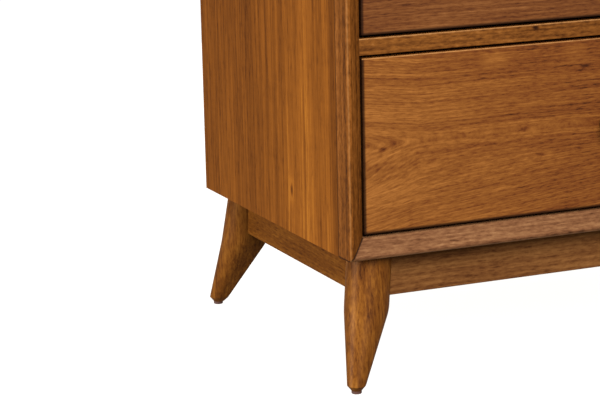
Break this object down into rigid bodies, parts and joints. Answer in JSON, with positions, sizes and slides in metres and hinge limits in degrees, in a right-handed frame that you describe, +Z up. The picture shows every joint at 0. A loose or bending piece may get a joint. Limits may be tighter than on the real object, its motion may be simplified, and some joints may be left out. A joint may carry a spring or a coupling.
{
  "type": "nightstand",
  "caption": "Walnut nightstand with inset drawers in a bevel-edged mitred case, on splayed tapered legs.",
  "frame": {"origin": "at floor level, in the middle of the overall width and depth", "axes": "+X to the right along the width, +Y to the back, +Z up"},
  "size_m": [0.6846, 0.4718, 0.6375],
  "materials": {
    "veneered_board": "satin lacquered walnut veneer, vertical grain on the sides, level on the fronts",
    "solid_edging": "satin lacquered solid walnut",
    "solid_rail": "satin lacquered solid walnut",
    "base_wood": "satin lacquered solid walnut",
    "knob_wood": "turned walnut, satin lacquer",
    "hidden_hardwood": "planed beech, unfinished",
    "plywood": "birch plywood, clear sealer",
    "drawer_box_wood": "maple, clear matt lacquer",
    "zinc_steel": "zinc plated rolled steel",
    "screw_steel": "zinc plated steel",
    "glide_plastic": "moulded brown nylon"
  },
  "bodies": {
    "case": {"left_side_panel": "veneered_board", "right_side_panel": "veneered_board", "top_panel": "veneered_board", "bottom_panel": "veneered_board", "left_stile": "solid_edging", "right_stile": "solid_edging", "top_rail": "solid_edging", "bottom_rail": "solid_edging", "divider_rail": "solid_rail", "rear_divider_rail": "hidden_hardwood", "divider_dowels": "hidden_hardwood", "side_linings": "plywood", "back_panel": "plywood", "back_panel_screws": "screw_steel", "case_slides": "zinc_steel", "case_slide_screws": "screw_steel", "leg_front_left": "base_wood", "leg_front_right": "base_wood", "leg_rear_left": "base_wood", "leg_rear_right": "base_wood", "apron_front": "base_wood", "apron_rear": "base_wood", "apron_left": "base_wood", "apron_right": "base_wood", "apron_dowels": "hidden_hardwood", "corner_blocks": "hidden_hardwood", "corner_block_screws": "screw_steel", "leg_bolts": "screw_steel", "leg_bolt_flange_nuts": "screw_steel", "base_screws": "screw_steel", "foot_glides": "glide_plastic"},
    "upper_drawer": {"upper_drawer_front": "veneered_board", "upper_drawer_box_front": "drawer_box_wood", "upper_drawer_box_back": "drawer_box_wood", "upper_drawer_left_side": "drawer_box_wood", "upper_drawer_right_side": "drawer_box_wood", "upper_drawer_bottom": "plywood", "upper_drawer_front_screws": "screw_steel", "upper_knob": "knob_wood", "upper_knob_screw": "screw_steel", "upper_inner_slides": "zinc_steel", "upper_drawer_slide_screws": "screw_steel"},
    "upper_middle_slides": {"upper_middle_slides": "zinc_steel"},
    "upper_outer_cages": {"upper_outer_ball_cages": "zinc_steel"},
    "upper_inner_cages": {"upper_inner_ball_cages": "zinc_steel"},
    "lower_drawer": {"lower_drawer_front": "veneered_board", "lower_drawer_box_front": "drawer_box_wood", "lower_drawer_box_back": "drawer_box_wood", "lower_drawer_left_side": "drawer_box_wood", "lower_drawer_right_side": "drawer_box_wood", "lower_drawer_bottom": "plywood", "lower_drawer_front_screws": "screw_steel", "lower_knob": "knob_wood", "lower_knob_screw": "screw_steel", "lower_inner_slides": "zinc_steel", "lower_drawer_slide_screws": "screw_steel"},
    "lower_middle_slides": {"lower_middle_slides": "zinc_steel"},
    "lower_outer_cages": {"lower_outer_ball_cages": "zinc_steel"},
    "lower_inner_cages": {"lower_inner_ball_cages": "zinc_steel"}
  },
  "joints": [
    {"name": "upper_drawer_pull", "type": "slide", "parent": "case", "child": "upper_drawer", "axis": [0, -1, 0], "range_m": [0, 0.38]},
    {"name": "upper_middle_slides_travel", "type": "slide", "parent": "case", "child": "upper_middle_slides", "axis": [0, -1, 0], "range_m": [0, 0.19]},
    {"name": "upper_outer_cages_travel", "type": "slide", "parent": "case", "child": "upper_outer_cages", "axis": [0, -1, 0], "range_m": [0, 0.095]},
    {"name": "upper_inner_cages_travel", "type": "slide", "parent": "case", "child": "upper_inner_cages", "axis": [0, -1, 0], "range_m": [0, 0.285]},
    {"name": "lower_drawer_pull", "type": "slide", "parent": "case", "child": "lower_drawer", "axis": [0, -1, 0], "range_m": [0, 0.38]},
    {"name": "lower_middle_slides_travel", "type": "slide", "parent": "case", "child": "lower_middle_slides", "axis": [0, -1, 0], "range_m": [0, 0.19]},
    {"name": "lower_outer_cages_travel", "type": "slide", "parent": "case", "child": "lower_outer_cages", "axis": [0, -1, 0], "range_m": [0, 0.095]},
    {"name": "lower_inner_cages_travel", "type": "slide", "parent": "case", "child": "lower_inner_cages", "axis": [0, -1, 0], "range_m": [0, 0.285]}
  ],
  "couplings": [
    {"joint": "upper_middle_slides_travel", "follows": "upper_drawer_pull", "ratio": 0.5},
    {"joint": "upper_outer_cages_travel", "follows": "upper_drawer_pull", "ratio": 0.25},
    {"joint": "upper_inner_cages_travel", "follows": "upper_drawer_pull", "ratio": 0.75},
    {"joint": "lower_middle_slides_travel", "follows": "lower_drawer_pull", "ratio": 0.5},
    {"joint": "lower_outer_cages_travel", "follows": "lower_drawer_pull", "ratio": 0.25},
    {"joint": "lower_inner_cages_travel", "follows": "lower_drawer_pull", "ratio": 0.75}
  ]
}
